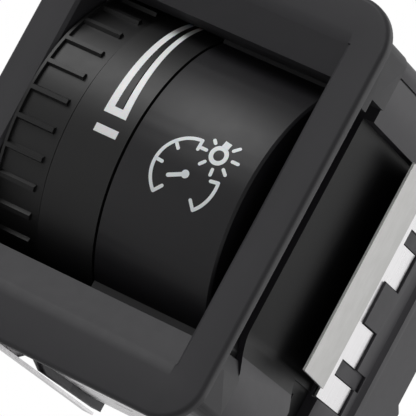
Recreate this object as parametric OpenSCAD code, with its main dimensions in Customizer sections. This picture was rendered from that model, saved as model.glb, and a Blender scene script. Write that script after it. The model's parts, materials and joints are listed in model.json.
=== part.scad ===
// Dimmer thumbwheel module of a car's headlight switch panel.
// +X is to the right seen from the front, +Y goes back into the dashboard, +Z is up.
// The origin is the middle of the bezel's back face, which seats on the dashboard panel.

/* [Bezel] */
// Overhang of the bezel beside the collar
bezel_side = 0.5; // [0.3:0.1:2]
// Overhang of the bezel above and below the collar
bezel_over = 2.45; // [1.5:0.05:5]
// Thickness of the bezel plate
bezel_t = 1.2; // [1:0.1:2]
// Radius of the bezel's four corners
bezel_corner = 4.5; // [3:0.1:6]
// Rounding of the bezel's front edge
bezel_edge = 0.5; // [0.3:0.1:0.8]
// Gap between the symbol panel and the window's right edge
panel_side = 1.5; // [1:0.1:3]
// Height of the window's middle above the bezel's middle
window_rise = 0.35; // [0:0.05:0.6]
// Gap above and below the wheel at the throat's rear edge
throat_gap = 0.55; // [0.4:0.05:0.8]
// Height of the sloped recess beyond the throat
recess_rise = 3.3; // [2:0.1:3.8]
// Depth of the sloped recess from the face
recess_depth = 2; // [1.5:0.1:3]
// Width of the soft band around the recess
band_w = 1.25; // [0.5:0.05:2]
// Depth of the soft band
band_dip = 0.25; // [0.1:0.05:0.4]
// Depth of the throat behind the panel face
throat_depth = 4.8; // [4:0.1:5]
// Wall of the throat
throat_wall = 1; // [0.8:0.1:1.4]

/* [Collar and body] */
// Depth of the collar behind the panel face
collar_depth = 5.7; // [5.2:0.1:6.5]
// Step from the collar's side in to the body's side
body_step = 0.3; // [0.1:0.05:0.5]
// Room between the window's edge and the body's inner wall
throat_side = 0.55; // [0.4:0.05:1]
// Room above the wheel inside the body
wheel_room = 1.65; // [1.2:0.05:3]
// Room between the sensor and the body's rear edge
rear_room = 0.5; // [0.2:0.1:4]
// Corner radius of the collar, body and cover
body_corner = 1.2; // [0.6:0.1:2]
// Wall of the body above and below
body_wall = 1.9; // [1.5:0.1:2.2]
// Side wall of the body under the pockets
side_wall = 1.6; // [1.4:0.1:2]
// Depth of the side pockets below the collar's side
pocket_depth = 1.3; // [1:0.1:1.4]
// Gap between the side clips' upper end and the pockets' upper edge
pocket_over = 0.3; // [0.1:0.1:0.8]
// Flat part of the pocket floor below the side clips
pocket_under = 0.8; // [0.4:0.1:1.2]
// Height of the slope at the pockets' lower end
pocket_slope = 3.9; // [3:0.1:4.5]
// Depth at which the pockets end, behind the panel face
pocket_end = 24.4; // [24:0.1:25]
// Height of the bead at the body's rear edge
bead_h = 0.5; // [0.2:0.1:0.8]
// Width of the bead
bead_w = 1.2; // [0.8:0.1:2]

/* [Rear cover] */
// Depth of the cover from the body's rear edge to its back
cover_depth = 8.7; // [8:0.1:12]
// Step from the body's side in to the cover's side
cover_step = 0.4; // [0.2:0.1:0.6]
// Wall of the cover
cover_wall = 1.6; // [1.2:0.1:2]
// Width of the connector socket's cavity
socket_w = 9.6; // [9.5:0.1:10]
// Height of the connector socket's cavity
socket_h = 22; // [21:0.1:26]
// Length of the connector socket behind the cover
socket_len = 8.8; // [7:0.1:12]
// Wall of the connector socket
socket_wall = 1.3; // [1:0.1:1.6]

/* [Wheel] */
// Radius of the thumbwheel
wheel_r = 15.9; // [15:0.1:17]
// Width of the thumbwheel
wheel_w = 12.5; // [11.8:0.1:14]
// Reach of the wheel in front of the panel face
wheel_proud = 2.3; // [1.8:0.1:2.8]
// Height of the wheel's axis above the bezel's middle
wheel_rise = 0.65; // [0.4:0.05:0.8]
// Gap between the window's left edge and the wheel
wheel_gap = 0.3; // [0.25:0.05:0.5]
// Thickness of the wheel's black skin
skin_t = 1.2; // [1:0.05:1.4]
// Thickness of the translucent core's rim
core_t = 1.05; // [0.9:0.05:1.2]
// Thickness of the core's web
web_t = 1.4; // [1:0.1:2]
// Radius of the core's hub
hub_r = 3.2; // [2.6:0.1:4]
// Length of the hub to the right of the wheel
hub_reach = 4.65; // [4.5:0.05:4.8]

/* [Grip] */
// Number of ribs around the grip
rib_count = 32; // [24:1:36]
// Width of one rib
rib_w = 0.9; // [0.6:0.05:1.2]
// Length of one rib
rib_len = 4.35; // [3:0.05:4.6]
// Height of the ribs above the grip's floor
rib_h = 0.35; // [0.2:0.05:0.5]
// Angle of the first rib above the wheel's axis
rib_start = 2; // [0:0.5:6]
// Width of the grip's floor, from the rim to the step
grip_w = 5.55; // [5:0.05:6]
// Width of the thin rim at the wheel's left end
rim_w = 0.3; // [0.25:0.05:0.5]

/* [Scale marks] */
// Width of the zero bar and of the wedge's foot
mark_w = 2.65; // [2:0.05:3]
// Distance from the marks' middle to the wheel's right end
mark_inset = 2.57; // [2.4:0.01:3]
// Height of the zero bar
bar_h = 0.85; // [0.6:0.05:1.2]
// Height of the zero bar's middle from the wheel's axis
bar_z = -0.46; // [-0.6:0.02:0]
// Gap between the bar and the wedge
mark_pitch = 1.3; // [1:0.05:1.6]
// Height of the wedge's top from the wheel's axis
wedge_top = 15.2; // [12:0.1:15.3]
// Width of the wedge at its top
wedge_tip_w = 1.5; // [1.3:0.05:2]
// Shift of the wedge's top to the left of its foot
wedge_lean = 1.35; // [0:0.05:1.6]
// Width of the wedge's strokes at the foot
stroke_w = 0.85; // [0.6:0.05:1]
// Width of the wedge's strokes at the top
stroke_tip_w = 0.55; // [0.4:0.05:0.6]

/* [Symbol panel] */
// Width of the symbol panel
panel_w = 13.5; // [13:0.1:13.8]
// Thickness of the symbol panel
panel_t = 1.5; // [1.2:0.1:1.8]
// Gap between the wheel and the symbol panel
panel_gap = 0.3; // [0.25:0.05:0.4]
// Bevel at the panel's right edge
panel_edge = 0.25; // [0.15:0.05:0.4]
// Depth of the panel's upper and lower flanges
flange_t = 1.5; // [1:0.1:1.8]

/* [Sensor drive] */
// Gear module of the sector and the pinion
gear_m = 0.6; // [0.58:0.01:0.62]
// Teeth that the whole sector gear would have
sector_teeth = 36; // [36:1:36]
// Teeth of the pinion
pinion_teeth = 12; // [12:1:12]
// Width of the sector gear
sector_w = 2.4; // [2:0.1:2.5]
// Backlash at the pitch circle
backlash = 0.14; // [0.1:0.01:0.2]
// Radius of the pinion's shaft
pinion_shaft_r = 1.25; // [1:0.05:1.5]
// Radius of the sensor's round body
sensor_r = 6; // [5:0.1:7]
// Length of the sensor's round body
sensor_len = 3.8; // [3:0.1:4.2]

/* [Axle] */
// Radius of the wheel's axle
axle_r = 1.25; // [1:0.05:1.5]
// Radial clearance of turning parts on their shafts
run_gap = 0.05; // [0.02:0.01:0.09]
// Radial clearance of parts that sit fixed on each other
seat_gap = 0.02; // [0.01:0.01:0.04]
// Radius of the bearing post
post_r = 2.4; // [2.1:0.1:2.8]
// Thickness of the drag washer
washer_t = 0.25; // [0.15:0.05:0.3]
// Play beside the drag washer
washer_play = 0.15; // [0.1:0.05:0.2]

/* [Retaining clips] */
// Thickness of the clips' spring sheet
sheet_t = 0.45; // [0.35:0.05:0.5]
// Depth of the side clips' raised front edge behind the panel face
clip_front = 15.7; // [15:0.1:17]
// Height of the side clips' front edge above the body's side
clip_rise = 1.3; // [0.8:0.1:1.8]
// Height of the side clips' lower end
clip_low = -10.6; // [-10.8:0.1:-10]
// Height of the side clips' upper end
clip_high = 12.6; // [12:0.1:12.7]
// Depth of the clips' teeth behind the strip
tooth_len = 3.8; // [3:0.1:4.2]
// Depth of the flat strip in front of the teeth
strip_w = 1.5; // [1.2:0.1:1.6]
// Width of the bottom clip
bottom_clip_w = 25.6; // [24:0.1:26]
// Drop of the bottom clip's outer leaf below the body, at its front
leaf_drop = 1.35; // [1.3:0.05:1.5]
// Height of the rail between the bottom clip and its leaf
rail_h = 1.25; // [0.8:0.05:1.25]

/* [Circuit board] */
// Thickness of the board
board_t = 1.6; // [1.2:0.1:1.6]
// Width of one terminal blade
blade_w = 2.8; // [2:0.1:3]
// Thickness of one terminal blade
blade_t = 0.8; // [0.6:0.1:0.8]
// Distance between the terminals
blade_pitch = 5; // [4.8:0.1:5.4]
// Length of a blade beside the board
blade_root = 5; // [4:0.5:6]
// Height of the lamps' middles above and below the axle
lamp_rise = 6.35; // [6:0.05:7]

/* [Hidden] */
$fn = 72;
eps = 0.01;

// A length rounded to whole steps
function in_steps(length, step) = step * round(length / step);

// Wheel, symbol panel and window, from left to right
window_w = wheel_gap + wheel_w + panel_gap + panel_w + panel_side;
window_x = window_w / 2;
wheel_x0 = -window_x + wheel_gap;
wheel_x1 = wheel_x0 + wheel_w;
panel_x0 = wheel_x1 + panel_gap;
panel_x1 = panel_x0 + panel_w;
wheel_depth = wheel_r - wheel_proud;
wheel_half = sqrt(pow(wheel_r, 2) - pow(wheel_depth - throat_depth, 2));
throat_h = 2 * in_steps(wheel_half + abs(wheel_rise - window_rise) + throat_gap, 0.05);
window_h = throat_h + 2 * recess_rise;
flange_y0 = throat_depth + 0.05;
panel_span = acos((wheel_depth - flange_y0 - 0.8) / wheel_r);

// Walls around the wheel, from the inside out
inner_x = window_x + throat_side;
inner_z = wheel_rise + wheel_r + wheel_room;
pocket_x = inner_x + side_wall;
collar_w = 2 * (pocket_x + pocket_depth);
collar_h = 2 * (inner_z + body_wall);
bezel_w = collar_w + 2 * bezel_side;
bezel_h = collar_h + 2 * bezel_over;
body_w = collar_w - 2 * body_step;
pocket_top = clip_high + pocket_over;
pocket_turn = clip_low - pocket_under;
pocket_bottom = pocket_turn - pocket_slope;

// Wheel, gears and sensor
skin_r0 = wheel_r - skin_t;
core_r1 = skin_r0 - seat_gap;
core_r0 = core_r1 - core_t;
hub_x1 = wheel_x1 + hub_reach;
sector_x0 = hub_x1 - sector_w - 0.1;
gear_pitch_r = gear_m * sector_teeth / 2;
pinion_pitch_r = gear_m * pinion_teeth / 2;
sensor_y = wheel_depth + gear_pitch_r + pinion_pitch_r;
pinion_x0 = sector_x0 - 0.1;
pinion_x1 = hub_x1;
sensor_x0 = pinion_x1 + 0.6;
washer_x0 = wheel_x0 - washer_play - washer_t;

// Board, body and cover behind the wheel
board_x = sensor_x0 + sensor_len;
board_front = wheel_depth + post_r + 0.5;
body_depth = sensor_y + sensor_r + rear_room;
cover_y1 = body_depth + cover_depth;
cover_w = body_w - 2 * cover_step;
cover_h = collar_h - 2 * cover_step;
board_rear = cover_y1 - cover_wall - 0.6;
board_h = 2 * (inner_z - 0.5);
blade_x = board_x - blade_t;
socket_x = board_x - blade_t / 2;
blade_y0 = board_rear - blade_root;
lamp_h = 1.5;
lamp_l = 2.8;
peg_r = 0.7;
peg_y = board_front + 0.9;
lamp_y = min(peg_y + peg_r + lamp_l / 2 + 0.3, (peg_y + peg_r + sensor_y - sensor_r) / 2);
chip_y = board_front + 4.5;
guide_t = 1.5;
guide_x1 = board_x - lamp_h - 0.2;
guide_r1 = core_r0 - 0.4;
guide_r0 = guide_r1 - 1.2;

// Clips and what they sit in
clip_span = body_w + 2 * clip_rise;
tooth_x = body_w / 2 - 0.25;
clip_seat_x = tooth_x - sheet_t;
strip_y0 = pocket_end;
strip_y1 = strip_y0 + strip_w;
tooth_y1 = strip_y1 + tooth_len;
teeth_z = [[clip_low - 0.95, -8.65], [-6.85, -2.75], [2.1, 6.25], [8, 10.9]];
clip_x = bottom_clip_w / 2;
slits = [[0.6, 2.6], [6.6, 8.8]];
slits_x = concat(
    [for (d = slits) [-clip_x + d[0], -clip_x + d[1]]],
    [for (d = slits) [clip_x - d[1], clip_x - d[0]]]
);
slit_y = body_depth - 2.9;

// Extrudes an outline of depth and height along X
module along_x(x0, x1) {
    translate([x0, 0, 0]) rotate([90, 0, 90]) linear_extrude(x1 - x0) children();
}

// Extrudes an outline of width and height along Y
module along_y(y0, y1) {
    translate([0, y1, 0]) rotate([90, 0, 0]) linear_extrude(y1 - y0) children();
}

// Extrudes an outline of width and depth along Z
module along_z(z0, z1) {
    translate([0, 0, z0]) linear_extrude(z1 - z0) children();
}

// Box between two opposite corners
module block(low, high) {
    translate(low) cube(high - low);
}

// Cylinder along X
module rod(r, x0, x1) {
    translate([x0, 0, 0]) rotate([0, 90, 0]) cylinder(r = r, h = x1 - x0);
}

// Moves its children to the wheel's axis
module on_wheel_axis() {
    translate([0, wheel_depth, wheel_rise]) children();
}

// Moves its children to the sensor's axis
module on_sensor_axis() {
    translate([0, sensor_y, wheel_rise]) children();
}

// Repeats its children on both sides of the middle plane
module both_sides() {
    children();
    mirror([1, 0, 0]) children();
}

// Rectangle with round corners
module round_rect(w, h, r) {
    square([w - 2 * r, h], center = true);
    square([w, h - 2 * r], center = true);
    for (sx = [-1, 1], sy = [-1, 1])
        translate([sx * (w / 2 - r), sy * (h / 2 - r)]) circle(r);
}

// Section of a slab whose upper edges are rounded
module slab_section(w, t, e) {
    translate([-w / 2 + e, 0]) square([w - 2 * e, t]);
    translate([-w / 2, 0]) square([w, t - e]);
    for (s = [-1, 1]) translate([s * (w / 2 - e), t - e]) circle(e);
}

// Slab with round corners and a rounded upper edge
module soft_slab(w, h, t, r, e) {
    rotate([90, 0, 90]) linear_extrude(w - 2 * r, center = true) slab_section(h, t, e);
    rotate([90, 0, 0]) linear_extrude(h - 2 * r, center = true) slab_section(w, t, e);
    for (sx = [-1, 1], sy = [-1, 1])
        translate([sx * (w / 2 - r), sy * (h / 2 - r), 0])
            rotate_extrude() intersection() {
                slab_section(2 * r, t, e);
                square([r, t]);
            }
}

// Ring segment about the X axis, between two angles above the front direction
module front_arc(r0, r1, x0, x1, a0, a1) {
    intersection() {
        difference() {
            rod(r1, x0, x1);
            rod(r0, x0 - 1, x1 + 1);
        }
        along_x(x0 - 1, x1 + 1) polygon([
            [0, 0],
            for (a = [a0 : (a1 - a0) / 4 : a1 + eps]) 2 * r1 * [-cos(a), sin(a)]
        ]);
    }
}

// Window: soft band, sloped recess and throat in one prism, with broken side edges
module window_cut() {
    face = -bezel_t;
    half = window_h / 2;
    throat = throat_h / 2;
    slope = [
        [face - eps, half + band_w],
        [face, half + band_w],
        [face + band_dip, half],
        [face + recess_depth, throat],
        [throat_depth + eps, throat - 0.1]
    ];
    translate([0, 0, window_rise]) {
        along_x(-window_x, window_x) polygon(concat(
            slope,
            [for (i = [len(slope) - 1 : -1 : 0]) [slope[i][0], -slope[i][1]]]
        ));
        both_sides() along_z(-half, half) polygon([
            [window_x - eps, face - eps],
            [window_x + 0.35, face - eps],
            [window_x + 0.35, face],
            [window_x - eps, face + 0.35]
        ]);
    }
}

// Side pocket, as the outline of width and height that is cut from one side
module pocket_outline(floor_x, low, turn) {
    polygon([
        [floor_x, pocket_top],
        [floor_x, turn],
        [collar_w / 2, low],
        [collar_w, low],
        [collar_w, pocket_top]
    ]);
}

// Snap tongues that hold the bezel in the body, above and below the wheel
module bezel_tongues() {
    for (s = [-1, 1]) scale([1, 1, s]) {
        along_x(-10.5, -3.5) polygon([
            [collar_depth - 1.5, inner_z - 1.1],
            [11.5, inner_z - 1.1],
            [11.5, inner_z - 0.5],
            [10.9, inner_z - 0.1],
            [collar_depth, inner_z - 0.1],
            [collar_depth, inner_z + 0.2],
            [collar_depth - 1.5, inner_z + 0.2]
        ]);
        along_x(-9, -5) polygon([
            [8.1, inner_z - 0.2],
            [10.2, inner_z - 0.2],
            [8.1, inner_z + 0.6]
        ]);
    }
}

// Front frame: plate with rounded edge, sloped recess, throat, and the collar behind it
module bezel() {
    color([0.19, 0.19, 0.2]) {
        difference() {
            union() {
                rotate([90, 0, 0]) soft_slab(bezel_w, bezel_h, bezel_t, bezel_corner, bezel_edge);
                along_y(0, collar_depth) round_rect(collar_w, collar_h, body_corner);
            }
            window_cut();
            // Hollows between throat and collar, open to the back
            for (z = [[throat_h / 2 + window_rise + throat_wall, inner_z],
                      [-inner_z, -throat_h / 2 + window_rise - throat_wall]])
                block([-inner_x, 1, z[0]], [inner_x, collar_depth + eps, z[1]]);
            // Room behind the throat's rear edge
            block([-inner_x, throat_depth, -inner_z], [inner_x, collar_depth + eps, inner_z]);
            both_sides() {
                along_y(eps, collar_depth + eps) pocket_outline(pocket_x - 0.2, pocket_bottom + 1.4, pocket_turn - 2);
                // Release hole at the pocket's upper front corner
                block([pocket_x - 2.4, 2.3, pocket_top - eps], [collar_w, collar_depth + eps, pocket_top + 1.4]);
            }
        }
        bezel_tongues();
    }
}

// Slots and ledge that take the side clip's strip and teeth
module clip_seat() {
    block([clip_seat_x, strip_y0 - eps, clip_low - 1.1], [body_w, strip_y1 + 0.05, clip_high + 0.1]);
    for (z = teeth_z)
        block([clip_seat_x, strip_y1 - eps, z[0] - 0.12], [body_w, tooth_y1 + 0.15, z[1] + 0.12]);
}

// Bead around the body's rear edge
module rear_bead() {
    y0 = body_depth - bead_w;
    for (s = [-1, 1]) scale([s, 1, 1])
        along_z(-collar_h / 2 + body_corner, collar_h / 2 - body_corner) polygon([
            [body_w / 2 - 0.3, y0 - bead_h],
            [body_w / 2, y0 - bead_h],
            [body_w / 2 + bead_h, y0],
            [body_w / 2 + bead_h, body_depth],
            [body_w / 2 - 0.3, body_depth]
        ]);
}

// Ribs on the walls that hold the board's upper and lower edge
module board_rails() {
    for (s = [-1, 1]) scale([1, 1, s])
        for (x = [board_x - 0.85, board_x + board_t + 0.05])
            block([x, board_front + 3, inner_z - 1.2], [x + 0.8, body_depth - 0.5, inner_z + 0.3]);
}

// Rail under the body beside the bottom clip
module bottom_rail(y0, y1, ramp) {
    along_x(-clip_x - 1.4, -clip_x - 0.15) polygon([
        [y0, -collar_h / 2 + 0.6],
        [y0 + ramp, -collar_h / 2 - rail_h],
        [y1, -collar_h / 2 - rail_h],
        [y1, -collar_h / 2 + 0.6]
    ]);
}

// Body: open box with side pockets, clip seats, axle seats and board rails
module housing() {
    color([0.23, 0.22, 0.24]) difference() {
        union() {
            difference() {
                along_y(collar_depth, body_depth) round_rect(body_w, collar_h, body_corner);
                block([-inner_x, 0, -inner_z], [inner_x, body_depth + 1, inner_z]);
                both_sides() {
                    along_y(collar_depth - eps, pocket_end)
                        pocket_outline(pocket_x, pocket_bottom, pocket_turn);
                    clip_seat();
                    // Recessed strip along the side's upper edge
                    block([body_w / 2 - 0.25, collar_depth - eps, collar_h / 2 - 2.2],
                          [body_w, body_depth - 4, collar_h / 2 - 2]);
                    // Tool recess below the pocket
                    block([body_w / 2 - 1.3, pocket_end - 7, pocket_bottom - 2.2],
                          [body_w, pocket_end - 3, pocket_turn - 1.2]);
                }
                // Windows for the bezel's snap tongues
                for (s = [-1, 1]) scale([1, 1, s])
                    block([-9.2, 8, inner_z - 1], [-4.8, 10.4, collar_h]);
            }
            rear_bead();
            board_rails();
            bottom_rail(pocket_end - 2, body_depth, 6);
            on_wheel_axis() {
                rod(post_r + 0.6, -inner_x - 0.5, washer_x0);
                rod(post_r, hub_x1 + 0.3, inner_x + 0.5);
            }
        }
        on_wheel_axis() rod(axle_r + seat_gap, -inner_x - 1, inner_x - 2.6);
    }
}

// Ear behind the cover's lower half, at its side
module rear_ear() {
    along_x(cover_w / 2 - 1.4, cover_w / 2) polygon([
        [cover_y1 - 0.5, -6],
        [cover_y1, -6],
        [cover_y1 + 2.2, -7.4],
        [cover_y1 + 2.2, -cover_h / 2 + 3],
        [cover_y1 - 0.5, -cover_h / 2 + 1]
    ]);
}

// Cover behind the body, with the connector socket
module rear_cover() {
    socket_y1 = cover_y1 + socket_len;
    color([0.22, 0.21, 0.23]) difference() {
        union() {
            difference() {
                along_y(body_depth, cover_y1) round_rect(cover_w, cover_h, body_corner);
                along_y(body_depth - eps, cover_y1 - cover_wall)
                    round_rect(cover_w - 2 * cover_wall, cover_h - 2 * cover_wall, body_corner);
            }
            both_sides() rear_ear();
            along_y(cover_y1 - eps, socket_y1)
                translate([socket_x, 0])
                    round_rect(socket_w + 2 * socket_wall, socket_h + 2 * socket_wall, body_corner);
            bottom_rail(body_depth, cover_y1, 0);
        }
        along_y(cover_y1, socket_y1 + eps)
            translate([socket_x, 0]) round_rect(socket_w, socket_h, 0.8);
        for (i = [0 : 3])
            block([blade_x - 0.05, cover_y1 - cover_wall - eps, blade_z(i) - blade_w / 2 - 0.05],
                  [board_x + 0.05, cover_y1 + eps, blade_z(i) + blade_w / 2 + 0.05]);
    }
}

// Bevelled right edge of the symbol panel
module edge_cone() {
    intersection() {
        translate([panel_x1 - panel_edge, 0, 0]) rotate([0, 90, 0])
            cylinder(r1 = wheel_r, r2 = wheel_r - panel_edge, h = panel_edge);
        front_arc(wheel_r - panel_t, wheel_r, panel_x1 - panel_edge - eps, panel_x1, -panel_span, panel_span);
    }
}

// Fixed curved panel beside the wheel, with flanges behind the throat
module symbol_panel() {
    foot_z = wheel_r * sin(panel_span);
    wall_z = in_steps(foot_z - 0.77, 0.05);
    color([0.17, 0.17, 0.18]) {
        on_wheel_axis() {
            front_arc(wheel_r - panel_t, wheel_r, panel_x0, panel_x1 - panel_edge, -panel_span, panel_span);
            // Stepped-in end wall, so that the panel closes the drum
            front_arc(wheel_r - panel_t, wheel_r - panel_edge, panel_x1 - 1, panel_x1, -panel_span, panel_span);
            intersection() {
                rod(wheel_r - panel_edge, panel_x1 - 1.2, panel_x1);
                block([panel_x1 - 1.2, -wheel_r, -wall_z], [panel_x1, throat_depth - wheel_depth + 2, wall_z]);
            }
            edge_cone();
        }
        for (s = [-1, 1])
            along_x(panel_x0, panel_x1) polygon([
                [flange_y0, wheel_rise + s * (foot_z - 0.9)],
                [flange_y0 + flange_t, wheel_rise + s * (foot_z - 0.5)],
                [flange_y0 + flange_t, s * inner_z],
                [flange_y0, s * inner_z]
            ]);
    }
}

// Clear guide: a curved bar behind symbol and scale, with two arms to the lamps
module light_guide() {
    arm_y0 = wheel_depth - guide_r0 * cos(28);
    arm_y1 = board_front + 5;
    color([0.85, 0.9, 0.95, 0.5]) {
        on_wheel_axis() front_arc(guide_r0, guide_r1, wheel_x0 + 4.3, panel_x1 - 1.5, -38, 38);
        for (s = [-1, 1]) {
            z0 = wheel_rise + s * lamp_rise - 1.5;
            along_z(z0, z0 + 3) polygon([
                [guide_x1 - guide_t, arm_y0 - 1.2],
                [guide_x1, arm_y0 - 1.2],
                [guide_x1, arm_y1],
                [guide_x1 - guide_t, arm_y1 - guide_t]
            ]);
            translate([0, peg_y, wheel_rise + s * lamp_rise]) rod(peg_r, guide_x1 - 0.2, board_x);
        }
    }
}

// Outline of the zero bar, grown by g on each side
module bar_outline(g) {
    x = wheel_x1 - mark_inset;
    translate([x - mark_w / 2 - g, bar_z - bar_h / 2 - g]) square([mark_w + 2 * g, bar_h + 2 * g]);
}

// Outline of the hollow wedge, grown by g on each side and open at its top
module wedge_outline(g) {
    foot = wheel_x1 - mark_inset;
    tip = foot - wedge_lean + 0.2;
    z0 = bar_z + bar_h / 2 + mark_pitch;
    difference() {
        polygon([
            [foot - mark_w / 2 - g, z0 - g],
            [foot + mark_w / 2 + g, z0 - g],
            [tip + wedge_tip_w / 2 + g, wedge_top + g],
            [tip - wedge_tip_w / 2 - g, wedge_top + g]
        ]);
        polygon([
            [foot - mark_w / 2 + stroke_w + g, z0 + stroke_w + g],
            [foot + mark_w / 2 - stroke_w - g, z0 + stroke_w + g],
            [tip + wedge_tip_w / 2 - stroke_tip_w - g, wedge_top + 1],
            [tip - wedge_tip_w / 2 + stroke_tip_w + g, wedge_top + 1]
        ]);
    }
}

// Scale marks between two radii, on the front of the wheel
module scale_marks(r0, r1, g) {
    intersection() {
        difference() {
            rod(r1, wheel_x0, wheel_x1);
            rod(r0, wheel_x0 - 1, wheel_x1 + 1);
        }
        along_y(-wheel_r - 1, 0) {
            bar_outline(g);
            wedge_outline(g);
        }
    }
}

// Black skin of the wheel, with grip ribs and openings for the marks
module thumbwheel() {
    color([0.16, 0.16, 0.17]) on_wheel_axis() {
        difference() {
            rod(wheel_r, wheel_x0, wheel_x1);
            rod(skin_r0, wheel_x0 - 1, wheel_x1 + 1);
            difference() {
                rod(wheel_r + 1, wheel_x0 + rim_w, wheel_x0 + grip_w);
                rod(wheel_r - rib_h, wheel_x0, wheel_x0 + grip_w + 1);
            }
            scale_marks(skin_r0 - 0.5, wheel_r + 0.5, seat_gap);
        }
        grip_ribs();
    }
}

// Ribs of the grip, all of one height
module grip_ribs() {
    intersection() {
        difference() {
            rod(wheel_r, wheel_x0, wheel_x0 + grip_w);
            rod(wheel_r - rib_h - 0.2, wheel_x0 - 1, wheel_x0 + grip_w + 1);
        }
        for (i = [0 : rib_count - 1])
            rotate([rib_start + i * 360 / rib_count, 0, 0])
                block([wheel_x0 + rim_w - 0.1, -wheel_r - 1, -rib_w / 2], [wheel_x0 + rim_w + rib_len, 0, rib_w / 2]);
    }
}

// Translucent core: rim with raised marks, web, hub and toothed sector
module wheel_core() {
    color([0.92, 0.92, 0.9]) on_wheel_axis() difference() {
        union() {
            difference() {
                rod(core_r1, wheel_x0, wheel_x1);
                rod(core_r0, wheel_x0 + web_t, wheel_x1 + 1);
            }
            scale_marks(core_r1 - 0.4, wheel_r, 0);
            for (i = [0 : 5]) rotate([i * 60, 0, 0])
                block([wheel_x0 + web_t - 0.1, hub_r - 0.3, -0.5], [wheel_x0 + web_t + 2.2, core_r0 + 0.2, 0.5]);
            rod(hub_r, wheel_x0, hub_x1);
            sector_gear();
        }
        rod(axle_r + run_gap, wheel_x0 - 1, hub_x1 + 1);
    }
}

// Angle in degrees that an involute has turned at radius r, for base radius rb
function involute_turn(rb, r) =
    let (t = sqrt(max(0, pow(r / rb, 2) - 1))) t * 180 / PI - atan(t);

// Half of a tooth's angle at radius r
function tooth_half(teeth, rb, r) =
    let (rp = gear_m * teeth / 2)
    90 / teeth - backlash / 4 / rp * 180 / PI + involute_turn(rb, rp) - involute_turn(rb, r);

// Corners of one tooth that points along angle a, from root to tip and back
function tooth_points(teeth, a, pressure = 25, steps = 4) =
    let (
        rp = gear_m * teeth / 2,
        rb = rp * cos(pressure),
        root = rp - 1.2 * gear_m,
        tip = rp + gear_m * 0.95,
        low = max(root, rb),
        radii = concat([root], [for (i = [0 : steps]) low + (tip - low) * i / steps])
    )
    concat(
        [for (r = radii) let (h = a - tooth_half(teeth, rb, r)) r * [cos(h), sin(h)]],
        [for (i = [len(radii) - 1 : -1 : 0])
            let (h = a + tooth_half(teeth, rb, radii[i])) radii[i] * [cos(h), sin(h)]]
    );

// Toothed sector on the hub; its teeth meet the pinion behind the wheel over the whole travel
module sector_gear() {
    step = 360 / sector_teeth;
    along_x(sector_x0, sector_x0 + sector_w) polygon(concat(
        [[-1.5, 1.5]],
        [for (i = [-10 : 1]) each tooth_points(sector_teeth, i * step)]
    ));
}

// Gear and shaft of the sensor
module sensor_pinion() {
    color([0.93, 0.93, 0.9]) on_sensor_axis() {
        along_x(pinion_x0, pinion_x1) polygon([
            for (i = [0 : pinion_teeth - 1]) each tooth_points(pinion_teeth, (i + 0.5) * 360 / pinion_teeth)
        ]);
        rod(pinion_shaft_r + 0.5, pinion_x1 - eps, sensor_x0 - 0.2);
        rod(pinion_shaft_r, pinion_x1, board_x - 0.4);
    }
}

// Sensor: round body on a square foot against the board
module sensor_body() {
    foot_x = board_x - 1.2;
    color([0.15, 0.25, 0.4]) on_sensor_axis() difference() {
        union() {
            rod(sensor_r, sensor_x0, board_x);
            block([foot_x, -sensor_r, -sensor_r - 1], [board_x, sensor_r, sensor_r + 1]);
        }
        rod(pinion_shaft_r + run_gap, sensor_x0 - 1, board_x - 0.3);
    }
}

// Board that carries lamps, sensor and terminals
module circuit_board() {
    color([0.05, 0.35, 0.2])
        block([board_x, board_front, -board_h / 2], [board_x + board_t, board_rear, board_h / 2]);
}

// Surface-mounted lamp with a round lens face, on the board's left face
module lamp(s) {
    color([0.95, 0.93, 0.8]) translate([0, lamp_y, wheel_rise + s * lamp_rise]) difference() {
        block([board_x - lamp_h, -lamp_l / 2, -1.6], [board_x, lamp_l / 2, 1.6]);
        rod(1.1, board_x - lamp_h - eps, board_x - lamp_h + 0.3);
    }
}

module symbol_led() lamp(1);

module scale_led() lamp(-1);

// Chip resistors on the board's right face
module board_resistors() {
    color([0.1, 0.1, 0.1]) for (i = [0 : 3])
        translate([board_x + board_t, chip_y + 4 * i, 8]) cube([0.6, 1.6, 3.2]);
}

function blade_z(i) = (i - 1.5) * blade_pitch;

// Terminal blade from the board into the socket, with a tapered end
module terminal(i) {
    color([0.8, 0.7, 0.45]) translate([0, 0, blade_z(i)]) along_x(blade_x, board_x) polygon([
        [blade_y0, -blade_w / 2],
        [cover_y1 + socket_len - 2.5, -blade_w / 2],
        [cover_y1 + socket_len - 1.5, -blade_w / 4],
        [cover_y1 + socket_len - 1.5, blade_w / 4],
        [cover_y1 + socket_len - 2.5, blade_w / 2],
        [blade_y0, blade_w / 2]
    ]);
}

module terminal_1() terminal(0);

module terminal_2() terminal(1);

module terminal_3() terminal(2);

module terminal_4() terminal(3);

// Side clip: raised bar with a hem at its front edge, fold, strip and teeth
module side_clip() {
    front_x = clip_span / 2;
    fold_x = tooth_x + 0.35;
    color([0.8, 0.8, 0.81]) {
        along_z(clip_low, clip_high) polygon([
            [front_x - 1.1, clip_front + 0.1],
            [front_x - 0.3, clip_front],
            [front_x, clip_front + 0.3],
            [front_x, clip_front + 0.9],
            [fold_x, strip_y0 - 0.7],
            [tooth_x, strip_y0],
            [tooth_x, strip_y1],
            [clip_seat_x, strip_y1],
            [clip_seat_x, strip_y0],
            [fold_x - sheet_t, strip_y0 - 0.9],
            [front_x - sheet_t, clip_front + 1.1],
            [front_x - sheet_t, clip_front + 0.5],
            [front_x - 1.1, clip_front + 0.5]
        ]);
        for (z = teeth_z)
            block([clip_seat_x, strip_y0, z[0]], [tooth_x, tooth_y1, z[1]]);
    }
}

module right_clip() side_clip();

module left_clip() mirror([1, 0, 0]) side_clip();

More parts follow.
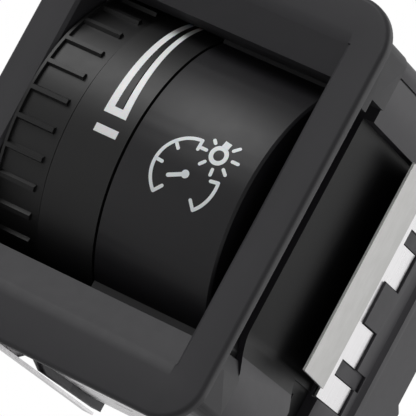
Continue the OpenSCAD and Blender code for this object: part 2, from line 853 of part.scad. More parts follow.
// Bottom clip: sheet under the body with a turned-down front lip, two slits and an outer leaf
module bottom_clip() {
    z = -collar_h / 2;
    y0 = clip_front + 0.7;
    y1 = body_depth + 5.5;
    leaf_y1 = y1 + 2;
    color([0.8, 0.8, 0.81]) {
        difference() {
            along_x(-clip_x, clip_x) polygon([
                [y0, z - 0.7],
                [y0 + 1.2, z],
                [y1, z],
                [y1, z - sheet_t],
                [y0 + 1.4, z - sheet_t],
                [y0 + 0.2, z - sheet_t - 0.7]
            ]);
            for (x = slits_x) block([x[0], slit_y, z - 1], [x[1], slit_y + 0.7, z + 1]);
        }
        along_y(y0 + 1.3, y0 + 6.2) polygon([
            [-clip_x + 0.1, z],
            [-clip_x + 0.1, z - sheet_t],
            [-clip_x - 1.5, z - leaf_drop - 0.35],
            [-clip_x - 1.5, z - leaf_drop]
        ]);
        along_x(-clip_x - 1.5, -clip_x - 0.2) polygon([
            [y0, z - leaf_drop],
            [leaf_y1, z - leaf_drop - 0.35],
            [leaf_y1, z - leaf_drop - 0.65],
            [y0, z - leaf_drop - 0.35]
        ]);
    }
}

// Axle pin with broken ends
module wheel_axle() {
    x0 = -inner_x - 0.9;
    x1 = inner_x - 2.8;
    color([0.7, 0.7, 0.72]) on_wheel_axis() {
        rod(axle_r, x0 + 0.2, x1 - 0.2);
        rod(axle_r - 0.2, x0, x1);
    }
}

// Dished washer between the left boss and the wheel's hub
module drag_washer() {
    color([0.75, 0.75, 0.76]) on_wheel_axis() difference() {
        rod(hub_r - 0.2, washer_x0, washer_x0 + washer_t);
        rod(axle_r + 0.15, washer_x0 - 1, washer_x0 + 1);
    }
}

bezel();
housing();
rear_cover();
symbol_panel();
light_guide();
thumbwheel();
wheel_core();
wheel_axle();
drag_washer();
sensor_pinion();
sensor_body();
circuit_board();
symbol_led();
scale_led();
board_resistors();
terminal_1();
terminal_2();
terminal_3();
terminal_4();
right_clip();
left_clip();
bottom_clip();
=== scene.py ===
import json
import math

import bmesh
import bpy
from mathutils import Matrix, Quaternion, Vector

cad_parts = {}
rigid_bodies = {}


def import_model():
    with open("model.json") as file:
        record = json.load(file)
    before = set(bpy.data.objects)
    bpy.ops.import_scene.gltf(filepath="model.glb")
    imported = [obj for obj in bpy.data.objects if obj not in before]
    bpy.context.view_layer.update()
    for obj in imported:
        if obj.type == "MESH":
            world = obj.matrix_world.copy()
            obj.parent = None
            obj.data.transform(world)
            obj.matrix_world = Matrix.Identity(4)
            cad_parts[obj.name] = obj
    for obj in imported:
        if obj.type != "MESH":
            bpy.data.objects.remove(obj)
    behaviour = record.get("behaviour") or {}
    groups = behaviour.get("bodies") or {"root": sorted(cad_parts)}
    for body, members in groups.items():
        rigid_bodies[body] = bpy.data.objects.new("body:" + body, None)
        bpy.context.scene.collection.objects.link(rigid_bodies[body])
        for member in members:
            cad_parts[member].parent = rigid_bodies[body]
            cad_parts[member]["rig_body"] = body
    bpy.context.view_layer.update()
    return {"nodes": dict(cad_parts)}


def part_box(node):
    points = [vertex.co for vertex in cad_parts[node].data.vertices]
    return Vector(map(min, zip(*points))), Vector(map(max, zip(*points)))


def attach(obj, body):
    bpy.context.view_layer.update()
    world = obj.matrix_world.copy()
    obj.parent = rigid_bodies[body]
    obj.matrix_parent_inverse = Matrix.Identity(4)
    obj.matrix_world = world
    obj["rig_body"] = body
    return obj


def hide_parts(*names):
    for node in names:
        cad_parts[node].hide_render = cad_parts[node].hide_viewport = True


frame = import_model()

MM = 0.001

# Camera, as angles round the object and a roll about the line of sight
PICTURE_PX = 416
FOCAL_PX = 4000
SENSOR_MM = 36
CAMERA_AZIMUTH = 26.84
CAMERA_ELEVATION = -6.65
CAMERA_ROLL = 28.28
CAMERA_DISTANCE = 385 * MM
CAMERA_TARGET = Vector((7.28, 2.76, -1.77)) * MM

# Wheel and symbol panel, from the frame
wheel_low, wheel_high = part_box("thumbwheel")
panel_low, panel_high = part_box("symbol_panel")
WHEEL_R = (wheel_high.z - wheel_low.z) / 2
WHEEL_Y = (wheel_high.y + wheel_low.y) / 2
WHEEL_Z = (wheel_high.z + wheel_low.z) / 2

# Symbol on the panel: a gauge with a lamp, as sizes on the drum's surface
SYMBOL_X = 5.88 * MM
SYMBOL_Z = -0.42 * MM
SYMBOL_LIFT = 0.03 * MM
STROKE = 0.36 * MM

# Grip of the wheel
RIB_COUNT = 32
RIB_START = 2
RIB_H = 0.4 * MM
RIB_W = 0.8 * MM
RIB_TOP_W = 0.45 * MM
RIB_LEN = 4.35 * MM
RIM_W = 0.3 * MM
GRIP_W = 5.55 * MM
STEP_W = 0.25 * MM
STEP_DIP = 0.15 * MM
SKIN_T = 1.2 * MM
EDGE = 0.02 * MM

# Openings in the wheel's skin for the scale marks, from the wheel's right end and axis
MARK_X = wheel_high.x - 2.57 * MM
MARK_W = 2.65 * MM
MARK_GAP = 0.02 * MM
BAR_LOW = WHEEL_Z - 0.885 * MM
BAR_HIGH = WHEEL_Z - 0.035 * MM
WEDGE_LOW = BAR_HIGH + 1.3 * MM
WEDGE_HIGH = WHEEL_Z + 15.2 * MM
WEDGE_TIP_X = MARK_X - 1.15 * MM
WEDGE_TIP_W = 1.5 * MM
WEDGE_STROKE = 0.85 * MM
WEDGE_TIP_STROKE = 0.55 * MM

# Collar, body, side pockets and side clips, from the frame
bezel_low, bezel_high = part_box("bezel")
clip_low, clip_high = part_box("right_clip")
COLLAR_X = bezel_high.x - 0.5 * MM
COLLAR_Z = bezel_high.z - 2.45 * MM
BODY_X = COLLAR_X - 0.3 * MM
COLLAR_END = 5.7 * MM
GROOVE_IN = 0.45 * MM
GROOVE_W = 0.3 * MM
BEYOND = 20 * MM
POCKET_TOP = clip_high.z + 0.3 * MM
POCKET_TURN = clip_low.z + 0.15 * MM
POCKET_BOTTOM = POCKET_TURN - 3.9 * MM
POCKET_END = clip_high.y - 5.3 * MM
COLLAR_FLOOR = 15.15 * MM
BODY_FLOOR = 16.0 * MM
ENTRY_W = 4.6 * MM

# Spring clips
SHEET = 0.3 * MM
CLIP_BOTTOM = clip_low.z + 0.95 * MM
CLIP_FRONT = clip_low.y
CLIP_X = clip_high.x
TOOTH_X = BODY_X - 0.25 * MM
FOLD_X = TOOTH_X + 0.35 * MM
STRIP_END = POCKET_END + 1.5 * MM
TOOTH_END = clip_high.y
TOOTH_EXTRA = 1.6 * MM
TEETH_Z = [(clip_low.z, -8.65 * MM), (-6.85 * MM, -2.75 * MM), (2.1 * MM, 6.25 * MM), (8 * MM, 10.9 * MM)]


def node(name):
    return frame["nodes"][name]


def new_material(name):
    """A node material with only a Principled shader and its output."""
    material = bpy.data.materials.new(name)
    material.use_nodes = True
    return material, material.node_tree.nodes, material.node_tree.links


def noise(nodes, links, scale, detail=2.0, stretch=(1, 1, 1)):
    """A noise texture in the object's own coordinates. Returns its value socket."""
    place = nodes.new("ShaderNodeTexCoord")
    mapping = nodes.new("ShaderNodeMapping")
    mapping.inputs["Scale"].default_value = stretch
    texture = nodes.new("ShaderNodeTexNoise")
    texture.inputs["Scale"].default_value = scale
    texture.inputs["Detail"].default_value = detail
    links.new(place.outputs["Object"], mapping.inputs["Vector"])
    links.new(mapping.outputs["Vector"], texture.inputs["Vector"])
    return texture.outputs["Fac"]


def span(nodes, links, value, low, high):
    """Spreads a noise value over a range of numbers."""
    spread = nodes.new("ShaderNodeMapRange")
    spread.inputs["From Min"].default_value = 0.3
    spread.inputs["From Max"].default_value = 0.7
    spread.inputs["To Min"].default_value = low
    spread.inputs["To Max"].default_value = high
    links.new(value, spread.inputs["Value"])
    return spread.outputs["Result"]


def tone(nodes, links, value, dark, light):
    """Turns a noise value into a colour between two tones."""
    ramp = nodes.new("ShaderNodeValToRGB")
    ramp.color_ramp.elements[0].position = 0.3
    ramp.color_ramp.elements[0].color = (*dark, 1)
    ramp.color_ramp.elements[1].position = 0.7
    ramp.color_ramp.elements[1].color = (*light, 1)
    links.new(value, ramp.inputs["Fac"])
    return ramp.outputs["Color"]


def bump(nodes, links, value, strength, depth, under=None):
    """A bump from a noise value, over another bump if one is given."""
    relief = nodes.new("ShaderNodeBump")
    relief.inputs["Strength"].default_value = strength
    relief.inputs["Distance"].default_value = depth
    links.new(value, relief.inputs["Height"])
    if under is not None:
        links.new(under, relief.inputs["Normal"])
    return relief.outputs["Normal"]


def plastic(name, colour, roughness, grain=6000, depth=0.004 * MM, spread=0.03, specular=0.35, wave=0.02):
    """Moulded plastic: fine grain, slow changes of tone and of gloss."""
    material, nodes, links = new_material(name)
    shader = nodes["Principled BSDF"]
    dark = [c * (1 - spread) for c in colour]
    light = [c * (1 + spread) for c in colour]
    cloud = noise(nodes, links, 260, 4)
    links.new(tone(nodes, links, cloud, dark, light), shader.inputs["Base Color"])
    gloss = noise(nodes, links, 900, 3)
    links.new(span(nodes, links, gloss, roughness - 0.012, roughness + 0.012), shader.inputs["Roughness"])
    pebbles = noise(nodes, links, grain, 3)
    waves = noise(nodes, links, 400, 1)
    soft = bump(nodes, links, waves, wave, 0.01 * MM)
    links.new(bump(nodes, links, pebbles, 0.5, depth, soft), shader.inputs["Normal"])
    shader.inputs["Specular IOR Level"].default_value = specular
    return material


def steel(name, colour, roughness, along=(1, 1, 0.06)):
    """Rolled spring sheet: fine lines along the rolling direction."""
    material, nodes, links = new_material(name)
    shader = nodes["Principled BSDF"]
    shader.inputs["Metallic"].default_value = 1.0
    lines = noise(nodes, links, 5200, 4, along)
    dark = [c * 0.93 for c in colour]
    links.new(tone(nodes, links, lines, dark, colour), shader.inputs["Base Color"])
    stain = noise(nodes, links, 500, 3)
    links.new(span(nodes, links, stain, roughness - 0.05, roughness + 0.08), shader.inputs["Roughness"])
    links.new(bump(nodes, links, lines, 0.2, 0.004 * MM), shader.inputs["Normal"])
    return material


def white_plastic(name, colour):
    """Translucent white plastic of marks, core and gear."""
    material, nodes, links = new_material(name)
    shader = nodes["Principled BSDF"]
    cloud = noise(nodes, links, 500, 2)
    dark = [c * 0.97 for c in colour]
    links.new(tone(nodes, links, cloud, dark, colour), shader.inputs["Base Color"])
    links.new(span(nodes, links, noise(nodes, links, 1200, 2), 0.38, 0.5), shader.inputs["Roughness"])
    shader.inputs["Subsurface Weight"].default_value = 0.15
    shader.inputs["Subsurface Scale"].default_value = 0.4 * MM
    return material


def clear_plastic(name):
    """Clear moulded guide with faint flow marks."""
    material, nodes, links = new_material(name)
    shader = nodes["Principled BSDF"]
    flow = noise(nodes, links, 300, 2, (1, 1, 0.3))
    links.new(tone(nodes, links, flow, (0.86, 0.9, 0.93), (0.94, 0.96, 0.98)), shader.inputs["Base Color"])
    links.new(span(nodes, links, flow, 0.06, 0.14), shader.inputs["Roughness"])
    links.new(bump(nodes, links, flow, 0.1, 0.01 * MM), shader.inputs["Normal"])
    shader.inputs["Transmission Weight"].default_value = 0.9
    shader.inputs["IOR"].default_value = 1.49
    return material


def board_laminate(name):
    """Green solder mask with the glass weave showing faintly."""
    material, nodes, links = new_material(name)
    shader = nodes["Principled BSDF"]
    weave = nodes.new("ShaderNodeTexVoronoi")
    weave.inputs["Scale"].default_value = 1400
    place = nodes.new("ShaderNodeTexCoord")
    links.new(place.outputs["Object"], weave.inputs["Vector"])
    green = tone(nodes, links, weave.outputs["Distance"], (0.012, 0.12, 0.05), (0.02, 0.17, 0.08))
    links.new(green, shader.inputs["Base Color"])
    links.new(bump(nodes, links, weave.outputs["Distance"], 0.2, 0.01 * MM), shader.inputs["Normal"])
    shader.inputs["Roughness"].default_value = 0.3
    return material


def brass(name):
    """Bright terminal metal with drawn lines along its length."""
    return steel(name, (0.8, 0.66, 0.36), 0.22, (1, 0.05, 1))


def paint_nodes():
    """Gives every CAD node its material."""
    materials = {
        "bezel": plastic("bezel_plastic", (0.030, 0.0293, 0.0322), 0.55, specular=0.3),
        "body": plastic("body_plastic", (0.028, 0.026, 0.031), 0.45, 3500, 0.006 * MM, spread=0.06, wave=0.04),
        # pocket: the body plastic painted darker, as painted shade in the side pockets
        "pocket": plastic("pocket_painted_shade_plastic", (0.008, 0.008, 0.0084), 0.38, 3500, 0.003 * MM, specular=0.12),
        "panel": plastic("panel_plastic", (0.0092, 0.0088, 0.0102), 0.45, 7000, 0.002 * MM, specular=0.31),
        "wheel": plastic("wheel_plastic", (0.0095, 0.0094, 0.0097), 0.46, 7000, 0.002 * MM, specular=0.3),
        "white": white_plastic("white_plastic", (0.88, 0.88, 0.885)),
        "clear": clear_plastic("clear_plastic"),
        "sheet": steel("spring_steel", (0.8, 0.79, 0.8), 0.3),
        # bar: the clip's spring steel painted darker, as painted shade on the raised bar
        "bar": steel("bar_painted_shade_steel", (0.5, 0.495, 0.485), 0.36),
        # cut: matt sheared edge painted lighter than the sheet, partly the sheared finish and partly a painted
        # highlight
        "cut": steel("sheared_edge_painted_highlight_steel", (0.95, 0.95, 0.93), 0.7),
        "pin": steel("pin_steel", (0.62, 0.62, 0.64), 0.3, (0.05, 1, 1)),
        "sensor": plastic("sensor_plastic", (0.03, 0.08, 0.22), 0.45),
        "board": board_laminate("board_laminate"),
        "lamp": plastic("lamp_resin", (0.85, 0.8, 0.5), 0.3),
        "chip": plastic("chip_ceramic", (0.02, 0.02, 0.02), 0.5),
        "blade": brass("terminal_brass"),
    }
    wearers = {
        "bezel": ["bezel"],
        "body": ["housing", "rear_cover"],
        "panel": ["symbol_panel"],
        "wheel": ["thumbwheel"],
        "white": ["wheel_core", "sensor_pinion"],
        "clear": ["light_guide"],
        "sheet": ["right_clip", "left_clip", "bottom_clip", "drag_washer"],
        "pin": ["wheel_axle"],
        "sensor": ["sensor_body"],
        "board": ["circuit_board"],
        "lamp": ["symbol_led", "scale_led"],
        "chip": ["board_resistors"],
        "blade": ["terminal_1", "terminal_2", "terminal_3", "terminal_4"],
    }
    for kind, names in wearers.items():
        for name in names:
            data = node(name).data
            data.materials.clear()
            data.materials.append(materials[kind])
    return materials


def paint_faces(piece, test, material):
    """Gives a second material to the faces of a piece that pass a test on middle and normal."""
    piece.data.materials.append(material)
    for face in piece.data.polygons:
        if test(face.center, face.normal):
            face.material_index = len(piece.data.materials) - 1


def in_pocket(middle, normal):
    """Floor and lower slope of the side pockets, which get a darker copy of the body plastic as painted shade."""
    outward = normal.x * math.copysign(1, middle.x) > 0.3
    level = COLLAR_FLOOR - 0.1 * MM < abs(middle.x) < BODY_FLOOR + 0.55 * MM
    return outward and level and POCKET_BOTTOM < middle.z < POCKET_TOP and 0 < middle.y < POCKET_END


def on_bar(middle, normal):
    """Outer face of a side clip's raised bar, which gets a darker copy of the clip steel as painted shade."""
    return middle.y < POCKET_END and normal.x * math.copysign(1, middle.x) > 0.5


def on_cut_edge(middle, normal):
    """Sheared front edge of a side clip, which gets a lighter matt steel: partly the sheared finish, partly a painted
    highlight.
    """
    return middle.y < CLIP_FRONT + 0.5 * MM and normal.y < -0.5


def solid(name, mesh):
    """A bmesh as an object, with its faces turned outward."""
    bmesh.ops.recalc_face_normals(mesh, faces=mesh.faces[:])
    data = bpy.data.meshes.new(name)
    mesh.to_mesh(data)
    mesh.free()
    shape = bpy.data.objects.new(name, data)
    bpy.context.scene.collection.objects.link(shape)
    return shape


def tube(loops):
    """A closed ring through four loops of points."""
    mesh = bmesh.new()
    rings = [[mesh.verts.new(p) for p in loop] for loop in loops]
    count = len(rings[0])
    for k in range(4):
        a, b = rings[k], rings[(k + 1) % 4]
        for i in range(count):
            j = (i + 1) % count
            mesh.faces.new((a[i], a[j], b[j], b[i]))
    return solid("tube", mesh)


def frame_ring(x0, z0, x1, z1, y0, y1):
    """A rectangular frame about the Y axis."""
    def loop(x, z, y):
        return [(x, y, z), (-x, y, z), (-x, y, -z), (x, y, -z)]
    return tube([loop(x0, z0, y0), loop(x1, z1, y0), loop(x1, z1, y1), loop(x0, z0, y1)])


def prism(axis, outline, low, high):
    """An outline in the two other axes, drawn out along one axis."""
    def place(a, b, along):
        return {"x": (along, a, b), "y": (a, along, b), "z": (a, b, along)}[axis]
    mesh = bmesh.new()
    ends = [[mesh.verts.new(place(a, b, at)) for a, b in outline] for at in (low, high)]
    mesh.faces.new(ends[0])
    mesh.faces.new(ends[1])
    for i in range(len(outline)):
        j = (i + 1) % len(outline)
        mesh.faces.new((ends[0][i], ends[0][j], ends[1][j], ends[1][i]))
    return solid("prism", mesh)


def block(low, high):
    """A box between two corners, in any order."""
    corners = [(low[0], low[1]), (high[0], low[1]), (high[0], high[1]), (low[0], high[1])]
    return prism("z", corners, low[2], high[2])


def carve(piece, tools, operation="DIFFERENCE"):
    """Cuts the tools from a piece or joins them to it, and removes the tools."""
    for shape in tools:
        step = piece.modifiers.new("carve", "BOOLEAN")
        step.operation = operation
        step.solver = "EXACT"
        step.object = shape
    bpy.context.view_layer.update()
    made = bpy.data.meshes.new_from_object(piece.evaluated_get(bpy.context.evaluated_depsgraph_get()))
    piece.modifiers.clear()
    piece.data = made
    for shape in tools:
        bpy.data.objects.remove(shape)
    return piece


def blank(name):
    """A welded copy of a CAD node's mesh, to carve on."""
    mesh = bmesh.new()
    mesh.from_mesh(node(name).data)
    bmesh.ops.remove_doubles(mesh, verts=mesh.verts, dist=0.0005 * MM)
    return solid("dressed_" + name, mesh)


def stand_in(piece, name, material):
    """Shows a piece in place of a CAD node, on the node's body."""
    piece.name = "dressed_" + name
    piece.data.materials.clear()
    piece.data.materials.append(material)
    piece.data.shade_smooth()
    piece.data.set_sharp_from_angle(angle=math.radians(30))
    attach(piece, node(name)["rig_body"])
    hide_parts(name)
    return piece


def mark_levels():
    """Heights of the lower and upper edges of the bar's and the wedge's openings."""
    g = MARK_GAP
    return BAR_LOW - g, BAR_HIGH + g, WEDGE_LOW - g, WEDGE_LOW + WEDGE_STROKE + g, WEDGE_HIGH + g


def wheel_rows():
    """Angles round the wheel: corners of the ribs, edges of the marks, and steps between the ribs."""
    foot, top = RIB_W / 2 / WHEEL_R, RIB_TOP_W / 2 / WHEEL_R
    pitch = 2 * math.pi / RIB_COUNT
    rows = [math.asin((z - WHEEL_Z) / WHEEL_R) for z in mark_levels()]
    for i in range(RIB_COUNT):
        a = math.radians(RIB_START) + i * pitch
        rows += [a - foot, a - top, a + top, a + foot]
        rows += [a + foot + (pitch - 2 * foot) * k / 7 for k in range(1, 7)]
    return sorted(a % (2 * math.pi) for a in rows)


def rib_radius(a):
    """Radius of the ribbed grip at an angle."""
    foot, top = RIB_W / 2 / WHEEL_R, RIB_TOP_W / 2 / WHEEL_R
    pitch = 2 * math.pi / RIB_COUNT
    off = abs((a - math.radians(RIB_START) + pitch / 2) % pitch - pitch / 2)
    return WHEEL_R - RIB_H * min(1, max(0, (off - top) / (foot - top)))


def inner_angle(a):
    """Angle on the skin's inner side, level with the outer one over most of the front."""
    if math.cos(a) <= 0:
        return a
    turned = math.asin(math.sin(a))
    reach = 12 * MM
    first, last = math.asin(reach / WHEEL_R), math.asin(reach / (WHEEL_R - SKIN_T))
    if abs(turned) <= first:
        return math.asin(WHEEL_R * math.sin(a) / (WHEEL_R - SKIN_T))
    share = (abs(turned) - first) / (math.pi / 2 - first)
    return math.copysign(last + share * (math.pi / 2 - last), turned)


def wheel_columns(a):
    """Places across the wheel, with their radii, at one angle."""
    x0 = wheel_low.x
    rib, floor = rib_radius(a), WHEEL_R - RIB_H
    grip, step = x0 + GRIP_W, x0 + GRIP_W + STEP_W
    z = WHEEL_Z + WHEEL_R * math.sin(a)
    t = min(1, max(0, (z - WEDGE_LOW) / (WEDGE_HIGH - WEDGE_LOW)))
    middle = MARK_X + t * (WEDGE_TIP_X - MARK_X)
    half = (MARK_W + t * (WEDGE_TIP_W - MARK_W)) / 2 + MARK_GAP
    stroke = WEDGE_STROKE + t * (WEDGE_TIP_STROKE - WEDGE_STROKE) + 2 * MARK_GAP
    return [
        (x0, WHEEL_R), (x0 + RIM_W, WHEEL_R),
        (x0 + RIM_W + EDGE, rib), (x0 + RIM_W + RIB_LEN, rib),
        (x0 + RIM_W + RIB_LEN + EDGE, floor), (grip - EDGE, floor),
        (grip, floor - STEP_DIP), (step, floor - STEP_DIP), (step + EDGE, WHEEL_R),
        (middle - half, WHEEL_R), (middle - half + stroke, WHEEL_R),
        (middle + half - stroke, WHEEL_R), (middle + half, WHEEL_R),
        (wheel_high.x, WHEEL_R),
    ]


def is_skin(column, a):
    """False for the cells that the marks' openings take out of the skin."""
    if column not in (9, 10, 11) or math.cos(a) <= 0:
        return True
    z = WHEEL_Z + WHEEL_R * math.sin(a)
    bar_low, bar_high, low, foot, high = mark_levels()
    return not (bar_low < z < bar_high or low < z < foot or (foot < z < high and column != 10))


def dressed_wheel(material):
    """The wheel's skin with 32 even ribs, a fine groove beside them, and openings for the marks."""
    def place(x, r, a):
        return mesh.verts.new((x, WHEEL_Y - r * math.cos(a), WHEEL_Z + r * math.sin(a)))

    mesh = bmesh.new()
    rows = wheel_rows()
    count = len(rows)
    outer = [[place(x, r, a) for x, r in wheel_columns(a)] for a in rows]
    inner = [[place(x, WHEEL_R - SKIN_T, inner_angle(a)) for x, _ in wheel_columns(a)] for a in rows]
    width = len(outer[0]) - 1
    middles = [(a + ((rows[(j + 1) % count] - a) % (2 * math.pi)) / 2) for j, a in enumerate(rows)]
    skin = [[is_skin(k, a) for k in range(width)] for a in middles]
    for j in range(count):
        n = (j + 1) % count
        for k in range(width):
            if skin[j][k]:
                mesh.faces.new((outer[j][k], outer[j][k + 1], outer[n][k + 1], outer[n][k]))
                mesh.faces.new((inner[j][k], inner[n][k], inner[n][k + 1], inner[j][k + 1]))
            if skin[j][k] != skin[n][k]:
                mesh.faces.new((outer[n][k], outer[n][k + 1], inner[n][k + 1], inner[n][k]))
            if k and skin[j][k] != skin[j][k - 1]:
                mesh.faces.new((outer[j][k], outer[n][k], inner[n][k], inner[j][k]))
        for k in (0, width):
            mesh.faces.new((outer[j][k], outer[n][k], inner[n][k], inner[j][k]))
    return stand_in(solid("skin", mesh), "thumbwheel", material)


def pocket_outline(floor, side):
    """Outline of a side pocket, in width and height, with a soft turn into its lower slope."""
    turn = Vector((floor, POCKET_TURN))
    end = Vector((COLLAR_X, POCKET_BOTTOM))
    first = turn + Vector((0, 1.2 * MM))
    last = turn + 0.4 * (end - turn)
    bend = []
    for i in range(9):
        t = i / 8
        bend.append((1 - t) ** 2 * first + 2 * t * (1 - t) * turn + t ** 2 * last)
    outline = [(floor, POCKET_TOP), *[tuple(p) for p in bend], tuple(end), (BEYOND, POCKET_BOTTOM), (BEYOND, POCKET_TOP)]
    return [(side * x, z) for x, z in outline]


def dressed_bezel(materials):
    """The bezel with a groove behind its plate and deeper pockets in its collar."""
    piece = blank("bezel")
    tools = [frame_ring(COLLAR_X - GROOVE_IN, COLLAR_Z - GROOVE_IN, COLLAR_X + MM, COLLAR_Z + MM, 0, GROOVE_W)]
    for side in (1, -1):
        tools.append(prism("y", pocket_outline(COLLAR_FLOOR, side), GROOVE_W, COLLAR_END + MM))
    carve(piece, tools)
    stand_in(piece, "bezel", materials["bezel"])
    # Painted shade: the collar's pocket faces take the darker pocket material.
    paint_faces(piece, in_pocket, materials["pocket"])
    return piece


def dressed_housing(materials):
    """The body with soft pocket slopes, entry channels and the side clips' full seats."""
    piece = blank("housing")
    fillers = [block((side * BODY_FLOOR, POCKET_END - 7.5 * MM, POCKET_BOTTOM - 2.6 * MM),
                     (side * BODY_X, POCKET_END - 2.9 * MM, POCKET_TURN - 0.5 * MM)) for side in (1, -1)]
    carve(piece, fillers, "UNION")
    tools = []
    for side in (1, -1):
        tools.append(prism("y", pocket_outline(BODY_FLOOR, side), COLLAR_END - MM, POCKET_END))
        tools.append(block((side * BODY_FLOOR, POCKET_END - ENTRY_W, POCKET_BOTTOM - 1.7 * MM),
                           (side * BEYOND, POCKET_END + 0.01 * MM, POCKET_TURN)))
        low, high = TEETH_Z[0]
        tools.append(block((side * (TOOTH_X - SHEET), STRIP_END - 0.1 * MM, low - 0.12 * MM),
                           (side * BEYOND, TOOTH_END + TOOTH_EXTRA + 0.15 * MM, high + 0.12 * MM)))
        for (_, below), (above, _) in ((TEETH_Z[0], TEETH_Z[1]), (TEETH_Z[2], TEETH_Z[3])):
            tools.append(block((side * (TOOTH_X - 0.05 * MM), STRIP_END - 0.1 * MM, below),
                               (side * BEYOND, TOOTH_END + 2.8 * MM, above)))
    carve(piece, tools)
    stand_in(piece, "housing", materials["body"])
    # Painted shade: the body's pocket faces take the darker pocket material.
    paint_faces(piece, in_pocket, materials["pocket"])
    return piece


def dressed_side_clip(name, side, materials):
    """A side clip of thin sheet: raised bar, sharp fold, strip and teeth."""
    fold_y = POCKET_END - 0.15 * MM
    profile = [
        (CLIP_X - SHEET, CLIP_FRONT),
        (CLIP_X, CLIP_FRONT),
        (FOLD_X, fold_y),
        (TOOTH_X, POCKET_END),
        (TOOTH_X, STRIP_END),
        (TOOTH_X - SHEET, STRIP_END),
        (TOOTH_X - SHEET, fold_y),
        (FOLD_X - SHEET, fold_y - SHEET),
    ]
    piece = prism("z", [(side * x, y) for x, y in profile], CLIP_BOTTOM, clip_high.z)
    teeth = []
    for i, (low, high) in enumerate(TEETH_Z):
        end = TOOTH_END + (TOOTH_EXTRA if i == 0 else 0)
        teeth.append(block((side * (TOOTH_X - SHEET), POCKET_END, low), (side * TOOTH_X, end, high)))
    carve(piece, teeth, "UNION")
    stand_in(piece, name, materials["sheet"])
    # Painted shade: the bar's outer face takes the darker bar steel.
    paint_faces(piece, on_bar, materials["bar"])
    # Painted highlight: the sheared front edge takes the lighter matt steel.
    paint_faces(piece, on_cut_edge, materials["cut"])
    return piece


def soften(piece, width, segments=3):
    """Rounds a piece's sharp edges with a small bevel, and shades the rest smooth."""
    weld = piece.modifiers.new("weld", "WELD")
    weld.merge_threshold = 0.002 * MM
    bevel = piece.modifiers.new("bevel", "BEVEL")
    bevel.width = width
    bevel.segments = segments
    bevel.limit_method = "ANGLE"
    bevel.angle_limit = math.radians(40)
    bevel.use_clamp_overlap = True
    bevel.harden_normals = True


def on_drum(u, v, lift):
    """The point of the drum's surface at u to the right and v up from the symbol's middle."""
    angle = (SYMBOL_Z + v - WHEEL_Z) / WHEEL_R
    r = WHEEL_R + lift
    return Vector((SYMBOL_X + u, WHEEL_Y - r * math.cos(angle), WHEEL_Z + r * math.sin(angle)))


def outline_piece(mesh, outline, top, bottom=-0.05 * MM):
    """Adds a flat shape to mesh as a thin solid that follows the drum."""
    upper = [mesh.verts.new(on_drum(u, v, top)) for u, v in outline]
    lower = [mesh.verts.new(on_drum(u, v, bottom)) for u, v in outline]
    mesh.faces.new(upper)
    mesh.faces.new(list(reversed(lower)))
    for i in range(len(outline)):
        j = (i + 1) % len(outline)
        mesh.faces.new((upper[i], lower[i], lower[j], upper[j]))


def bar_shape(start, end, width, steps=6):
    """Outline of a straight stroke with round ends."""
    start, end = Vector(start), Vector(end)
    along = (end - start).normalized()
    heading = math.atan2(along.y, along.x)
    points = []
    for centre, first in ((end, heading - math.pi / 2), (start, heading + math.pi / 2)):
        for i in range(steps + 1):
            a = first + math.pi * i / steps
            points.append((centre.x + width / 2 * math.cos(a), centre.y + width / 2 * math.sin(a)))
    return points


def arc_pieces(mesh, centre, radius, width, first, last, top, steps=40):
    """Adds an arc of even width as a chain of joined cells."""
    def point(r, a):
        return centre[0] + r * math.cos(a), centre[1] + r * math.sin(a)

    angles = [math.radians(first + (last - first) * i / steps) for i in range(steps + 1)]
    rings = []
    for r, lift in ((radius - width / 2, top), (radius + width / 2, top),
                    (radius + width / 2, -0.05 * MM), (radius - width / 2, -0.05 * MM)):
        rings.append([mesh.verts.new(on_drum(*point(r, a), lift)) for a in angles])
    for k in range(4):
        a, b = rings[k], rings[(k + 1) % 4]
        for i in range(steps):
            mesh.faces.new((a[i], a[i + 1], b[i + 1], b[i]))
    if abs(last - first) < 359:
        mesh.faces.new([ring[0] for ring in rings])
        mesh.faces.new([ring[-1] for ring in reversed(rings)])


def finish_mesh(name, mesh, material, body):
    """Turns a bmesh into a piece that rides on a body."""
    bmesh.ops.remove_doubles(mesh, verts=mesh.verts, dist=0.0005 * MM)
    bmesh.ops.recalc_face_normals(mesh, faces=mesh.faces)
    data = bpy.data.meshes.new(name)
    mesh.to_mesh(data)
    mesh.free()
    piece = bpy.data.objects.new(name, data)
    bpy.context.scene.collection.objects.link(piece)
    data.materials.append(material)
    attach(piece, body)
    return piece


def polar(radius, degrees, centre=(0, 0)):
    a = math.radians(degrees)
    return centre[0] + radius * math.cos(a), centre[1] + radius * math.sin(a)


